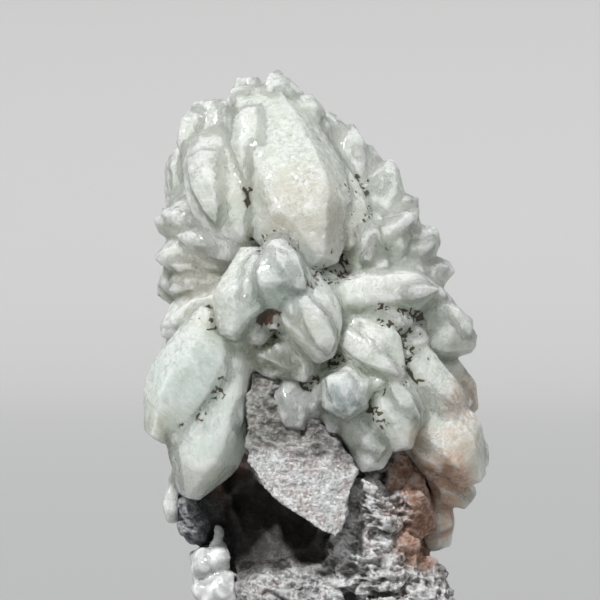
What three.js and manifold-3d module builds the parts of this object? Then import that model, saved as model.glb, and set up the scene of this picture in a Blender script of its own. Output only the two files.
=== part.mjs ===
import * as THREE from "three";
import { ConvexGeometry } from "three/addons/geometries/ConvexGeometry.js";
import { mergeVertices } from "three/addons/utils/BufferGeometryUtils.js";
import Module from "manifold-3d";

// A mineral specimen, in millimetres, +Z up, on a small flat spot at z = 0 with the origin in its middle.
// A dense crown of milky quartz crystals grew over the top of a dark, rough rock stalk. The crystals overlap,
// so the crown is one solid. The rock is another, and so is the small lobed growth low on its left side.
const seam = 0.3; // clearance between the pieces that touch
const stalkTop = 55; // the rock ends here, inside the crown
const crownTop = 87; // top of the crust that the crystals grow from

const wasm = await Module();
wasm.setup();

// A closed geometry as a solid, after its place has been applied to it.
function solidOf(geometry, place = new THREE.Matrix4()) {
  const placed = geometry.clone().applyMatrix4(place);
  placed.deleteAttribute("normal");
  placed.deleteAttribute("uv");
  const welded = mergeVertices(placed, 1e-4);
  return new wasm.Manifold(
    new wasm.Mesh({
      numProp: 3,
      vertProperties: welded.attributes.position.array,
      triVerts: new Uint32Array(welded.index.array),
    }),
  );
}

function geometryOf(solid) {
  const { vertProperties, triVerts, numProp, numVert } = solid.getMesh();
  const points = new Float32Array(numVert * 3);
  for (let i = 0; i < numVert; i++) {
    points.set(vertProperties.subarray(i * numProp, i * numProp + 3), i * 3);
  }
  const geometry = new THREE.BufferGeometry();
  geometry.setAttribute("position", new THREE.BufferAttribute(points, 3));
  geometry.setIndex(new THREE.BufferAttribute(triVerts, 1));
  return geometry;
}

const joined = (solids) => solids.reduce((whole, piece) => whole.add(piece));

// The same run of numbers from 0 to 1 every time.
function dice(seed) {
  let state = seed;
  return () => {
    state = (state * 1664525 + 1013904223) % 4294967296;
    return state / 4294967296;
  };
}

// Quartz form: a six-sided prism closed by three large and three small rhombohedral faces. It is built along
// +Z with a radius of 1, then stretched to its width and thickness and laid from its root to its tip.
// The prism narrows towards its tip and, where the whole crystal shows, swells from root to belly first.
const faceDistance = Math.sqrt(3) / 2; // from the axis to a prism face, at a radius of 1
const pointShare = 0.45; // height of the pointed end, as a share of the crystal's width
const minorFaces = 0.22; // how much higher the small faces meet, as a share of the point

function prism(long, belly, rootShare, tipShare) {
  const steps = belly > 0 ? 2 : 1;
  const sides = new THREE.CylinderGeometry(tipShare, rootShare, 1, 6, steps, false, Math.PI / 2);
  sides.rotateX(Math.PI / 2).translate(0, 0, 0.5);
  const spots = sides.attributes.position;
  const middle = (rootShare + tipShare) / 2;
  for (let i = 0; i < spots.count; i++) {
    const atBelly = Math.abs(spots.getZ(i) - 0.5) < 0.01;
    const wider = atBelly ? 1 / middle : 1;
    const height = atBelly ? belly : spots.getZ(i);
    spots.setXYZ(i, spots.getX(i) * wider, spots.getY(i) * wider, height * long);
  }
  return sides;
}

function pyramid(apex, slope, lean, firstCorner) {
  const deep = apex + 4;
  const cone = new THREE.ConeGeometry((2 * deep) / slope, deep, 3, 1, false, firstCorner);
  return cone.rotateX(Math.PI / 2).translate(lean, 0, apex - deep / 2);
}

function placeOf({ root, tip, wide, thick, face, turn }) {
  const start = new THREE.Vector3(...root);
  const along = new THREE.Vector3(...tip).sub(start).normalize();
  const back = new THREE.Vector3(...face).negate();
  back.addScaledVector(along, -back.dot(along)).normalize();
  back.applyAxisAngle(along, THREE.MathUtils.degToRad(turn));
  const across = new THREE.Vector3().crossVectors(back, along);
  const place = new THREE.Matrix4().makeBasis(across, back, along).setPosition(start);
  return place.multiply(new THREE.Matrix4().makeScale(wide / 2, thick / (2 * faceDistance), 1));
}

const frontwards = [0, -1, 0];
const upwards = [0, 0, 1];
const sideways = [1, 0, 0];

function crystal(shape) {
  const { root, tip, wide, thick = 0.85 * wide, face = frontwards, turn = 0 } = shape;
  const { point = pointShare * wide, blunt = 0.35, lean = 0, belly = 0 } = shape;
  const { rootShare = belly > 0 ? 0.72 : 1, tipShare = 0.82 } = shape;
  const long = new THREE.Vector3(...root).distanceTo(new THREE.Vector3(...tip));
  const place = placeOf({ root, tip, wide, thick, face, turn });
  const apex = long + blunt * point;
  const slope = (point * (1 + blunt)) / (faceDistance * tipShare);
  const major = pyramid(apex, slope, lean, (2 * Math.PI) / 3);
  const minor = pyramid(apex + minorFaces * point, slope, lean, Math.PI / 3);
  const sides = solidOf(prism(long, belly, rootShare, tipShare), place);
  return sides.intersect(solidOf(major, place)).intersect(solidOf(minor, place));
}

// The crystals that stand on the front of the crown, each from its root to its tip. The first is the summit.
const topCrystals = [
  { root: [-2.6, -4, 80], tip: [-3.8, -5, 98.1], wide: 9.8, thick: 10, point: 4.5, lean: -0.5, blunt: 0.05 },
  { root: [-9.8, -4.6, 80], tip: [-11, -5.2, 96.6], wide: 8.6, thick: 11, blunt: 1.2, tipShare: 0.7, turn: 12 },
  { root: [-9.6, -6.5, 92], tip: [1, -19.5, 66], wide: 18.4, thick: 15, point: 7, belly: 0.5, turn: -8 },
  { root: [-1, -7, 85], tip: [6.4, -15, 68.5], wide: 10, thick: 10, belly: 0.5, turn: 15 },
  { root: [3.6, -6, 80], tip: [2.2, -3, 90.9], wide: 6.6, thick: 7 },
  { root: [5.3, -7, 79], tip: [5.9, -4, 88.8], wide: 7, thick: 7, turn: 14 },
  { root: [-6, 0, 78], tip: [-7.5, 4, 94.6], wide: 10, thick: 9, turn: 20 }, // behind the summit
  { root: [-12, 1, 76], tip: [-14.8, 5, 89.5], wide: 9, thick: 9, turn: -15 },
  { root: [0, 2, 76], tip: [2.2, 6, 87.4], wide: 9, thick: 8, turn: 8 },
];
const leftCrystals = [
  { root: [-15.6, -4, 76], tip: [-17.6, -4.8, 92.8], wide: 11.6, thick: 11, blunt: 0.8, turn: 10 },
  { root: [-17.8, -7, 85], tip: [-11.9, -16, 69.4], wide: 12.2, thick: 11.4, belly: 0.5, turn: -12 },
  { root: [-21, -2, 73], tip: [-22.8, -1, 85], wide: 6.2, thick: 8 },
  { root: [-12, -8, 73.5], tip: [-26, -4, 72.6], wide: 9.6, thick: 9, turn: 18 },
  { root: [-12, -10, 68], tip: [-25.8, -4, 67.2], wide: 7.4, thick: 9.2, turn: -10 },
  { root: [-20, -8.5, 70.8], tip: [-10.6, -15.5, 68], wide: 6.2, thick: 6, belly: 0.5, turn: 25 },
  { root: [-12, -8, 63.6], tip: [-23.8, -7, 62.8], wide: 7.6, thick: 8, turn: 12 },
  { root: [-17, 1, 62], tip: [-26.2, 0, 62], wide: 7.4, thick: 8, turn: 30 },
  { root: [-13, -9, 59.8], tip: [-25, -6, 54.6], wide: 10.4, thick: 9, turn: -14 },
  { root: [-15, -5, 56], tip: [-25, -2, 50.8], wide: 7.6, thick: 8 },
];
const bladeCrystals = [
  { root: [-14.6, -16.5, 57], tip: [-25.6, -13.5, 37.6], wide: 13, thick: 9, belly: 0.5, blunt: 0.7 },
  { root: [-11.6, -15, 56], tip: [-12, -17.5, 46.4], wide: 7.2, thick: 7, belly: 0.5, turn: 20 },
  { root: [-12.6, -15, 52], tip: [-20.7, -13.5, 27.8], wide: 13.2, thick: 9, point: 6, belly: 0.6, turn: 8 },
  { root: [-18.5, -6, 40], tip: [-24, -5, 23.2], wide: 5.8, thick: 6, turn: 15 },
];
const archCrystals = [
  { root: [-5.6, -13, 60], tip: [-6.4, -25.4, 65], wide: 12.6, thick: 11, point: 4, face: upwards, blunt: 1 },
  { root: [-9, -17, 67], tip: [-14, -22, 54.2], wide: 9.4, thick: 8.6, belly: 0.55, turn: -10 },
  { root: [-8.8, -15, 63], tip: [-9.7, -20.5, 53], wide: 6.8, thick: 7, turn: 12 },
  { root: [-4, -16, 65], tip: [1.3, -22.3, 50.6], wide: 10.8, thick: 9.6, belly: 0.55, turn: 12 },
  { root: [-3.2, -14, 58], tip: [-1.9, -19.5, 47.4], wide: 8.8, thick: 8, turn: -20 },
  { root: [-14, -12, 52.4], tip: [-2.7, -17.5, 48], wide: 7.4, thick: 7, turn: 10 },
  { root: [-2.6, -10, 51], tip: [-3.4, -17.8, 38.4], wide: 10.6, thick: 9, blunt: 1, tipShare: 0.9 },
  { root: [0, -12, 45], tip: [1.4, -16.5, 37], wide: 5.8, thick: 5, turn: -8 },
];
const rightCrystals = [
  { root: [8.4, -5, 75], tip: [8.4, -3, 85.7], wide: 6.6, thick: 7, turn: -10 },
  { root: [9, -8, 73], tip: [12.4, -4, 82.4], wide: 8.8, thick: 8, blunt: 0.6 },
  { root: [10, -9, 69], tip: [16.3, -5, 76.6], wide: 9, thick: 8, turn: 15 },
  { root: [11, -9, 65], tip: [19.7, -6, 71], wide: 9.6, thick: 8, blunt: 0.6, turn: -12 },
  { root: [6, -9, 64], tip: [9.3, -15.5, 71.4], wide: 6.8, thick: 6, turn: -18 },
  { root: [10.5, -9, 65], tip: [13.7, -13, 73], wide: 6.8, thick: 6, turn: 16 },
  { root: [6.5, -11, 63.4], tip: [-0.2, -15.5, 64.8], wide: 5, thick: 5 },
  { root: [9, -8, 61.8], tip: [22.5, -4, 65.2], wide: 7.8, thick: 8, turn: 20 },
  { root: [2.2, -16.5, 60], tip: [19.4, -10, 62], wide: 8, thick: 8, belly: 0.5, turn: -12 },
  { root: [11, -7, 59], tip: [26.5, -5, 53.4], wide: 11.4, thick: 10, belly: 0.55, lean: 0.15, turn: 8 },
  { root: [4.5, -14, 57.2], tip: [15.8, -14.5, 56.2], wide: 5.6, thick: 6, belly: 0.5 },
  { root: [10, -12, 54.6], tip: [18.4, -12.5, 53], wide: 5.4, thick: 6, turn: 25 },
  { root: [11, -11, 51.4], tip: [19.4, -12.5, 50], wide: 5.8, thick: 6 },
  { root: [5, -14, 56], tip: [13.4, -19, 47.2], wide: 10.2, thick: 8.6, belly: 0.5, turn: 10 },
  { root: [5.2, -13, 46], tip: [4.5, -24.3, 44.4], wide: 9.6, thick: 8, point: 3, face: sideways, blunt: 1 },
  { root: [4.4, -13, 45], tip: [2.8, -18.6, 38.8], wide: 5.8, thick: 5 },
  { root: [10.6, -13, 50], tip: [14.3, -18, 36], wide: 10.4, thick: 8.6, belly: 0.55, turn: -15 },
  { root: [7.4, -12, 47], tip: [9.2, -17.5, 32.6], wide: 13.2, thick: 9.6, point: 5.5, belly: 0.5, turn: 6 },
  { root: [13, -11, 48], tip: [26.8, -8.5, 30.4], wide: 12, thick: 9.6, belly: 0.6, turn: -6 },
  { root: [15, -12, 50], tip: [23.6, -10.5, 40.6], wide: 9, thick: 7, turn: 20 },
  { root: [20, -8, 43.5], tip: [27.8, -6.5, 32.4], wide: 6.2, thick: 7, turn: 30 },
  { root: [16, -2, 53], tip: [26, -1, 41], wide: 9.2, thick: 9, turn: 18 },
  { root: [12, -5, 37.4], tip: [25.9, -4.5, 26.8], wide: 9.6, thick: 9, blunt: 0.6, turn: -10 },
  { root: [12.5, -9, 38], tip: [22, -9, 30.6], wide: 5.8, thick: 5 },
  { root: [16.4, -2, 33.5], tip: [20.6, -2.5, 18.6], wide: 9.4, thick: 9, blunt: 0.9, turn: 15 },
];

// Cross-sections of the rock and of the crust, from the bottom up: height, centre and half sizes in x and y.
const stalkSections = [
  [0, 0, 0, 13, 10.5],
  [3, 0.8, 0, 15.5, 12.6],
  [10, 3, 0.6, 17, 14],
  [17, 1, 0.8, 16.8, 14],
  [25, 0.6, 0.8, 17, 13.6],
  [33, 0.2, 0, 17.2, 14],
  [44, 0, 0, 15.6, 12.6],
  [51, -0.6, 0, 11.5, 9],
  [stalkTop, -0.8, 0, 5, 4],
];
const crustSections = [
  [30, 0.5, 0, 12, 10],
  [35, 0.4, 0, 19.4, 15.8],
  [45, 0, 0, 20.4, 16.6],
  [57, -1, 0, 19.6, 15.6],
  [68, -2.8, 0, 17.4, 13.4],
  [78, -5.2, -0.8, 13.6, 11],
  [84, -6.4, -1.4, 10, 8.4],
  [crownTop, -6.6, -1, 5, 4],
];

function sectionAt(sections, z) {
  const upper = Math.max(1, sections.findIndex((row) => row[0] >= z - 1e-6));
  const [low, high] = [sections[upper - 1], sections[upper]];
  const share = THREE.MathUtils.clamp((z - low[0]) / (high[0] - low[0]), 0, 1);
  return low.map((value, i) => THREE.MathUtils.lerp(value, high[i], share));
}

// Swells, ledges and hollows, as a share of the radius.
function swell(angle, z) {
  return (
    0.05 * Math.sin(3 * angle + 0.11 * z) +
    0.04 * Math.sin(5 * angle - 0.27 * z + 1) +
    0.04 * Math.abs(Math.sin(4 * angle + 0.31 * z + 2.2)) +
    0.04 * Math.sin(0.7 * z + 3 * Math.sin(2 * angle + 0.6))
  );
}

function column(sections, around, levels, roughness, grow) {
  const bottom = sections[0][0];
  const top = sections[sections.length - 1][0];
  const drum = new THREE.CylinderGeometry(1, 1, 1, around, levels).rotateX(Math.PI / 2);
  const spots = drum.attributes.position;
  const spot = new THREE.Vector3();
  for (let i = 0; i < spots.count; i++) {
    spot.fromBufferAttribute(spots, i);
    const z = THREE.MathUtils.lerp(bottom, top, spot.z + 0.5);
    const angle = Math.atan2(spot.y, spot.x);
    const [, x, y, wide, deep] = sectionAt(sections, z);
    const radius = Math.hypot(spot.x, spot.y) * (1 + roughness * swell(angle, z));
    const end = spot.z > 0.499 ? grow : spot.z < -0.499 ? -grow : 0;
    const across = Math.cos(angle) * radius * (wide + grow);
    const inwards = Math.sin(angle) * radius * (deep + grow);
    spots.setXYZ(i, x + across, y + inwards, z + end);
  }
  return solidOf(drum);
}

// A boulder or a rounded lobe; its bumps say how craggy it is.
function boulder({ at, size, turn = 0, bumps = 0.22 }, grow) {
  const ball = new THREE.IcosahedronGeometry(1, 1);
  const spots = ball.attributes.position;
  for (let i = 0; i < spots.count; i++) {
    const [x, y, z] = [spots.getX(i), spots.getY(i), spots.getZ(i)];
    const bump = 1 + bumps * Math.sin(7.3 * x + 4.1 * y + at[0]) * Math.cos(6.1 * z - 3.3 * y + at[2]);
    spots.setXYZ(i, x * bump * (size[0] + grow), y * bump * (size[1] + grow), z * bump * (size[2] + grow));
  }
  return solidOf(ball.rotateY(THREE.MathUtils.degToRad(turn)).translate(...at));
}

// The pale slab that juts out of the rock below the crown, drawn as corners of its front and of its root.
const slabCorners = [
  [-10.4, -17.5, 48.5],
  [-6.6, -17, 49],
  [-11.3, -17, 40],
  [-10.9, -19, 34.6],
  [-8.8, -20, 30],
  [-4, -21, 26.4],
  [1, -21.5, 22.6],
  [3.4, -21, 21.6],
  [4.6, -20, 23.6],
  [5.6, -19.5, 28.8],
  [6.8, -18, 32.6],
  [4.2, -16.5, 37],
  [-9, -9, 48],
  [-9, -9, 31],
  [2.5, -10, 26],
  [6, -9, 33],
];
const slabCentre = new THREE.Vector3(-2, -14, 35);

function slab(grow) {
  const corners = slabCorners.map((corner) => {
    const away = new THREE.Vector3(...corner).sub(slabCentre);
    return away.setLength(away.length() + 1.6 * grow).add(slabCentre);
  });
  return solidOf(new ConvexGeometry(corners));
}

const boulders = [
  { at: [-18.4, -5, 26.4], size: [5.6, 5, 5.4], turn: 20 }, // dark lump under the left blades
  { at: [-19, -6, 22.4], size: [3, 3.6, 2.8], turn: 10 },
  { at: [8.6, -10.6, 26], size: [5, 5.4, 6], turn: -25 }, // beside the slab
  { at: [8.6, -9.6, 17], size: [9.6, 7, 8], turn: 28 }, // ridged ground below the slab
  { at: [14.2, -8, 10.4], size: [8.4, 8, 7.6], turn: -12 },
  { at: [-3.6, -9.4, 10.2], size: [11, 6.6, 6.2], turn: 6 },
  { at: [3.6, -11.6, 9], size: [6, 5, 5.4], turn: 30 },
  { at: [14.4, -5.6, 28], size: [5, 8.6, 10], turn: -6 }, // smooth wall under the right crystals
  { at: [-9, 8.4, 21], size: [9, 7, 10], turn: 24 }, // the far side
  { at: [8, 9.4, 14], size: [10, 6.4, 7], turn: -18 },
  { at: [11, 7.6, 27], size: [7.4, 7.6, 6], turn: 32 },
];
const hollow = { at: [-7.4, -16.4, 24.6], size: [9.6, 9.4, 8], turn: 20 }; // the dark cave left of the slab

function rock(grow) {
  const stalk = column(stalkSections, 22, 13, 1, grow);
  const body = joined([stalk, ...boulders.map((place) => boulder(place, grow))]);
  return joined([body.subtract(boulder(hollow, -grow)), slab(grow)]);
}

// Crystals on the sides and the back of the crown, in rows that follow the crust.
const rows = [
  { z: 35, count: 7, lift: -1.3, reach: 8, first: -12 },
  { z: 45, count: 6, lift: -0.7, reach: 7, first: 4 },
  { z: 55, count: 6, lift: -0.1, reach: 6, first: -10 },
  { z: 65, count: 5, lift: 0.6, reach: 6.5, first: 6 },
  { z: 75, count: 4, lift: 1.3, reach: 7.5, first: 12 },
];
const backSweep = 208; // degrees of the crown that a row covers
const buried = 5; // how deep each of these crystals is rooted in the crust

function backCrystals() {
  const roll = dice(7);
  const spread = (amount) => (roll() - 0.5) * 2 * amount;
  const solids = [];
  for (const { z, count, lift, reach, first } of rows) {
    for (let i = 0; i < count; i++) {
      const angle = THREE.MathUtils.degToRad(first + (backSweep / count) * (i + 0.5) + spread(5));
      const height = z + spread(2.4);
      const [, x, y, wide, deep] = sectionAt(crustSections, height);
      const foot = new THREE.Vector3(x + Math.cos(angle) * wide, y + Math.sin(angle) * deep, height);
      const out = new THREE.Vector3(Math.cos(angle), Math.sin(angle), 0);
      const around = new THREE.Vector3(-out.y, out.x, 0);
      const along = out.clone().addScaledVector(around, spread(0.8));
      along.z = lift + spread(0.35);
      along.normalize();
      const narrowing = 1 - 0.35 * Math.abs(Math.cos(angle));
      const long = reach * narrowing * (0.85 + 0.3 * roll());
      const shape = {
        root: foot.clone().addScaledVector(along, -buried).toArray(),
        tip: foot.clone().addScaledVector(along, long).toArray(),
        wide: 12.6 + spread(1.6),
        thick: 11 + spread(1.2),
        blunt: 0.6,
        lean: spread(0.4),
        face: [out.x, out.y, 0.6],
        turn: spread(25),
      };
      solids.push(crystal(shape));
    }
  }
  return solids;
}

function frontCrystals() {
  const groups = [topCrystals, leftCrystals, bladeCrystals, archCrystals, rightCrystals];
  return groups.flat().map(crystal);
}

function crown() {
  const crust = column(crustSections, 20, 9, 0.6, 0);
  return joined([crust, ...frontCrystals(), ...backCrystals()]).subtract(rock(seam));
}

// The small lobed growth low on the left side of the stalk.
const lobes = [
  { at: [-16.4, -5.4, 17.2], size: [4.4, 4.2, 3.2], turn: -12 },
  { at: [-14.8, -6.4, 11.6], size: [5, 5, 4.2], turn: 18 },
  { at: [-15.4, -5.6, 6.4], size: [4.6, 4.4, 3.6], turn: -8 },
  { at: [-16.6, -1.6, 13.8], size: [4, 4.6, 4], turn: 10 },
  { at: [-16.8, -7.2, 21.2], size: [1.8, 1.8, 2.2], turn: 25 },
];
const lobeBumps = 0.06;

function lobedGrowth(crownSolid) {
  const solids = lobes.map((place) => boulder({ ...place, bumps: lobeBumps }, 0));
  return joined(solids).subtract(rock(seam)).subtract(crownSolid);
}

const finishes = {
  quartz: new THREE.MeshStandardMaterial({ color: 0xd9dcd4, roughness: 0.38, metalness: 0 }),
  rock: new THREE.MeshStandardMaterial({ color: 0x57504c, roughness: 0.75, metalness: 0.1 }),
};

function piece(name, solid, finish) {
  const mesh = new THREE.Mesh(geometryOf(solid), finish);
  mesh.name = name;
  return mesh;
}

const crownSolid = crown();
const specimen = new THREE.Group();
specimen.add(piece("rock_stalk", rock(0), finishes.rock));
specimen.add(piece("crystal_crown", crownSolid, finishes.quartz));
specimen.add(piece("lobed_growth", lobedGrowth(crownSolid), finishes.quartz));

export default specimen;
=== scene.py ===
import math
import random
import bpy
import bmesh
import numpy as np
from mathutils import Matrix, Vector, noise
from mathutils.bvhtree import BVHTree


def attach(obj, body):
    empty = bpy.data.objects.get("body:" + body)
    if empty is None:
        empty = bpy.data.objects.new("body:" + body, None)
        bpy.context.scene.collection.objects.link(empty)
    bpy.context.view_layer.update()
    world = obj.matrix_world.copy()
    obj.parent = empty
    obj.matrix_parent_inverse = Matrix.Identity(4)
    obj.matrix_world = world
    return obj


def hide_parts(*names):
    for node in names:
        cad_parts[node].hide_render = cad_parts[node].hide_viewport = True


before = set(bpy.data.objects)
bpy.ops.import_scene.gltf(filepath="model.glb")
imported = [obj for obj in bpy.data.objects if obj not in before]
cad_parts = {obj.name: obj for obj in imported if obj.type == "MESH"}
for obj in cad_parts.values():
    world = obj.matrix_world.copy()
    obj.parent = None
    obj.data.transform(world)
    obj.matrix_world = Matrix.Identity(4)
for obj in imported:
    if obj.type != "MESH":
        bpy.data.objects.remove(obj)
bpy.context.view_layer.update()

# A milky quartz specimen: a crown of crystals over a dark rock stalk, with a small lobed growth.
# Shapes are worked out in millimetres and scaled to metres once, when a piece is finished.
metre = 1000

view = {
    "target": (-0.0025, 0, 0.060),
    "distance": 0.6,
    "lens": 216,
    "clip": (0.01, 20),
    "pictureWide": 600,
    "pixelsPerMm": 6,
    "middle": (300, 300),
    "rayStart": -60,         # mm, in front of everything
    "placesReach": 2,        # mm, how far back the places marked on the front reach
    "placesFade": (0.45, 1.0),   # from which share of their radius they fade
}


def placed(name, data):
    made = bpy.data.objects.new(name, data)
    bpy.context.scene.collection.objects.link(made)
    return made


def addCamera():
    camera = placed("camera", bpy.data.cameras.new("camera"))
    bpy.context.scene.camera = camera
    camera.data.lens = view["lens"]
    camera.data.clip_start, camera.data.clip_end = view["clip"]
    x, y, z = view["target"]
    camera.location = (x, y - view["distance"], z)
    camera.rotation_euler = (math.pi / 2, 0, 0)


def frontPlace(px, py):
    # where a point of the picture lies at the object's own distance, in mm
    x = view["target"][0] * metre + (px - view["middle"][0]) / view["pixelsPerMm"]
    z = view["target"][2] * metre - (py - view["middle"][1]) / view["pixelsPerMm"]
    return x, z


# Working meshes

mergeWithin = 1e-6   # metres


def bareCopy(nodeName):
    bm = bmesh.new()
    bm.from_mesh(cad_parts[nodeName].data)
    bmesh.ops.remove_doubles(bm, verts=bm.verts, dist=mergeWithin)
    bmesh.ops.scale(bm, vec=(metre, metre, metre), verts=bm.verts)
    bm.normal_update()
    return bm


def meshOf(bm, name):
    mesh = bpy.data.meshes.new(name)
    bm.to_mesh(mesh)
    return mesh


def modified(mesh, kind, **settings):
    # the mesh after one modifier, as a new mesh
    holder = placed("holder", mesh)
    modifier = holder.modifiers.new(kind, kind)
    for name, value in settings.items():
        setattr(modifier, name, value)
    graph = bpy.context.evaluated_depsgraph_get()
    made = bpy.data.meshes.new_from_object(holder.evaluated_get(graph))
    bpy.data.objects.remove(holder)
    return made


def remeshed(mesh, voxel):
    return modified(mesh, "REMESH", mode="VOXEL", voxel_size=voxel, adaptivity=0)


def thinned(mesh, triangles):
    mesh.calc_loop_triangles()
    ratio = min(1, triangles / len(mesh.loop_triangles))
    return modified(
        mesh, "DECIMATE", decimate_type="COLLAPSE", ratio=ratio, use_collapse_triangulate=True)


def outerShell(mesh):
    # drops the shells that a remesh leaves inside and the crumbs beside it
    edges = edgesOf(mesh)
    label = np.arange(len(mesh.vertices))
    while True:
        before = label.copy()
        low = np.minimum(label[edges[:, 0]], label[edges[:, 1]])
        for side in (0, 1):
            np.minimum.at(label, before[edges[:, side]], low)
            np.minimum.at(label, edges[:, side], low)
        label = label[label]
        if (label == before).all():
            break
    largest = np.bincount(label).argmax()
    if (label == largest).all():
        return mesh
    bm = bmesh.new()
    bm.from_mesh(mesh)
    bmesh.ops.delete(bm, geom=[v for v in bm.verts if label[v.index] != largest], context="VERTS")
    print("dropped", len(mesh.vertices) - len(bm.verts), "corners of loose shells")
    kept = meshOf(bm, mesh.name)
    bm.free()
    return kept


def spotsOf(mesh):
    spots = np.empty(len(mesh.vertices) * 3, np.float32)
    mesh.vertices.foreach_get("co", spots)
    return spots.reshape(-1, 3).astype(float)


def normalsOf(mesh):
    normals = np.empty(len(mesh.vertices) * 3, np.float32)
    mesh.vertices.foreach_get("normal", normals)
    return normals.reshape(-1, 3).astype(float)


def edgesOf(mesh):
    edges = np.empty(len(mesh.edges) * 2, np.int32)
    mesh.edges.foreach_get("vertices", edges)
    return edges.reshape(-1, 2)


def moveTo(mesh, spots):
    mesh.vertices.foreach_set("co", spots.astype(np.float32).ravel())
    mesh.update()


def relaxed(values, edges, rounds):
    # each round moves a value halfway to the mean of its neighbours
    ends = np.concatenate([edges[:, 0], edges[:, 1]])
    others = np.concatenate([edges[:, 1], edges[:, 0]])
    count = np.maximum(np.bincount(ends, minlength=len(values)), 1)
    for _ in range(rounds):
        sums = [
            np.bincount(ends, weights=values[others, i], minlength=len(values))
            for i in range(values.shape[1])
        ]
        values = values + 0.5 * (np.stack(sums, 1) / count[:, None] - values)
    return values


def smoothMesh(mesh, rounds):
    moveTo(mesh, relaxed(spotsOf(mesh), edgesOf(mesh), rounds))


def lifted(mesh, lift):
    moveTo(mesh, spotsOf(mesh) + normalsOf(mesh) * lift[:, None])


def ramp(values, low, high):
    share = np.clip((values - low) / (high - low), 0, 1)
    return share * share * (3 - 2 * share)


def hollowness(mesh, rounds):
    # above 0 in creases, below 0 on ridges, in mm
    spots = spotsOf(mesh)
    soft = relaxed(spots, edgesOf(mesh), rounds)
    return ((soft - spots) * normalsOf(mesh)).sum(1)


def noiseAt(points, size, seed):
    # one noise value from -1 to 1 for each point
    shift = Vector((seed * 3.7, -seed * 5.3, seed * 2.9))
    sample = noise.noise
    scaled = (points / size).tolist()
    return np.array([sample(Vector(p) + shift) for p in scaled])


def cragsAt(points, size, seed):
    # ridged noise, brought to a mean of 0 and a spread of 1
    shift = Vector((seed * 2.1, seed * 4.3, -seed * 1.7))
    scaled = (points / size).tolist()
    sample = noise.ridged_multi_fractal
    crags = np.array([sample(Vector(p) + shift, *stalk["cragForm"]) for p in scaled])
    return np.clip((crags - crags.mean()) / crags.std(), -2, 2)


def spotShare(spots, places):
    # how much each point lies in one of the places: px, py, radius in mm, strength
    share = np.zeros(len(spots))
    inFront = spots[:, 1] < view["placesReach"]
    for px, py, radius, strength in places:
        x, z = frontPlace(px, py)
        away = np.hypot(spots[:, 0] - x, spots[:, 2] - z) / radius
        share = np.maximum(share, strength * (1 - ramp(away, *view["placesFade"])) * inFront)
    return share


def keepValues(mesh, values):
    for name, numbers in values.items():
        attribute = mesh.attributes.new(name, "FLOAT", "POINT")
        attribute.data.foreach_set("value", numbers.astype(np.float32))


def finishPiece(mesh, name, nodeName, material):
    bm = bmesh.new()
    bm.from_mesh(mesh)
    bmesh.ops.scale(bm, vec=(1 / metre, 1 / metre, 1 / metre), verts=bm.verts)
    bm.to_mesh(mesh)
    bm.free()
    mesh.shade_smooth()
    mesh.materials.clear()
    mesh.materials.append(material)
    piece = placed(name, mesh)
    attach(piece, "root")
    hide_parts(nodeName)
    print(name, "has", len(mesh.polygons), "faces")


def spotOn(face, dice):
    # a random place on a face
    shares = [dice.random() + 0.05 for _ in face.verts]
    return sum((v.co * s for v, s in zip(face.verts, shares)), Vector()) / sum(shares)


def jitter(dice, most):
    return Vector([dice.uniform(-most, most) for _ in range(3)])


# The crown

crown = {
    "seed": 11,
    "heart": 55,             # mm, height of the point that the crystals grow away from
    "hollowLimit": 0.06,     # radians an edge may fold inwards inside one crystal
    "leastArea": 5,          # mm2 of a crystal that carries plates
    "mostHollow": 0.8,       # mm
    "plump": 1.06,           # how much fuller the crystals are than the solids
    "longer": 1.02,
    "plates": (
        # area in mm2 for each plate, size as a share of the crystal, rise in mm over its face
        {"area": 24, "most": 9, "size": (0.35, 0.8), "rise": (0.18, 0.5)},
        {"area": 4.5, "most": 70, "size": (0.1, 0.28), "rise": (0.05, 0.2)},
    ),
    "gapVoxel": 0.6,
    "gapRounds": 24,         # smoothing rounds that find the gaps
    "outwardRounds": 16,     # and that even out which way they point
    "gapDepth": 0.55,        # mm, a crease this deep gets small crystals
    "gapLowest": 8,          # mm over the crown's foot
    "gapSpacing": 4.6,       # mm between the small crystals
    "gapTints": 17,          # how many tints they share
    "smallWide": (4.2, 7.0),
    "smallTip": (0.6, 2.4),  # mm that their tips stand over the crease
    "smallFill": 0.8,        # how much of the crease's depth they fill
    "smallRoot": 5,
    "smallLean": 0.4,
    "squeeze": (0.62, 0.78), # thickness over width
    "uneven": 0.05,
    "rings": ((0, 0.34), (0.38, 0.5), (0.76, 0.38)),   # place along it, radius over width
    "blunt": 0.13,           # half the width of a blunt tip, over the crystal's width
    "bury": 0.35,            # how deep a front crystal's middle lies, as a share of its width
    "mostSlope": 1.5,        # mm
    "rise": 0.55,            # how much of its listed rise a front crystal keeps
    "sink": 1.4,             # mm that its root lies deeper
    "voxel": 0.28,           # mm
    "creaseFill": ((130, 0.7), (40, 0.9), (24, 0.8), (10, 0.7)),   # smoothing rounds and share
    "rounding": 1,
    "swell": 0.1,            # mm
    "swellSizes": (2.6, 1.2),
    "shingle": 0.12,         # mm, height of the growth steps
    "shinglePeriod": 2.1,    # mm along the crystal
    "shingleWander": 0.9,    # how far they stray, in periods
    "shingleRagged": 0.35,
    "shinglePatch": 3.2,     # mm, size of the patches that carry them
    "stepShift": 7.3,        # mm, so that no two crystals have the same steps
    "sugar": 0.1,            # mm
    "sugarSize": 0.55,
    "frostSize": 2.2,
    "hollowRounds": (6, 40), # smoothing rounds that find its fine creases and wide hollows
    "triangles": 195000,
}


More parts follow.
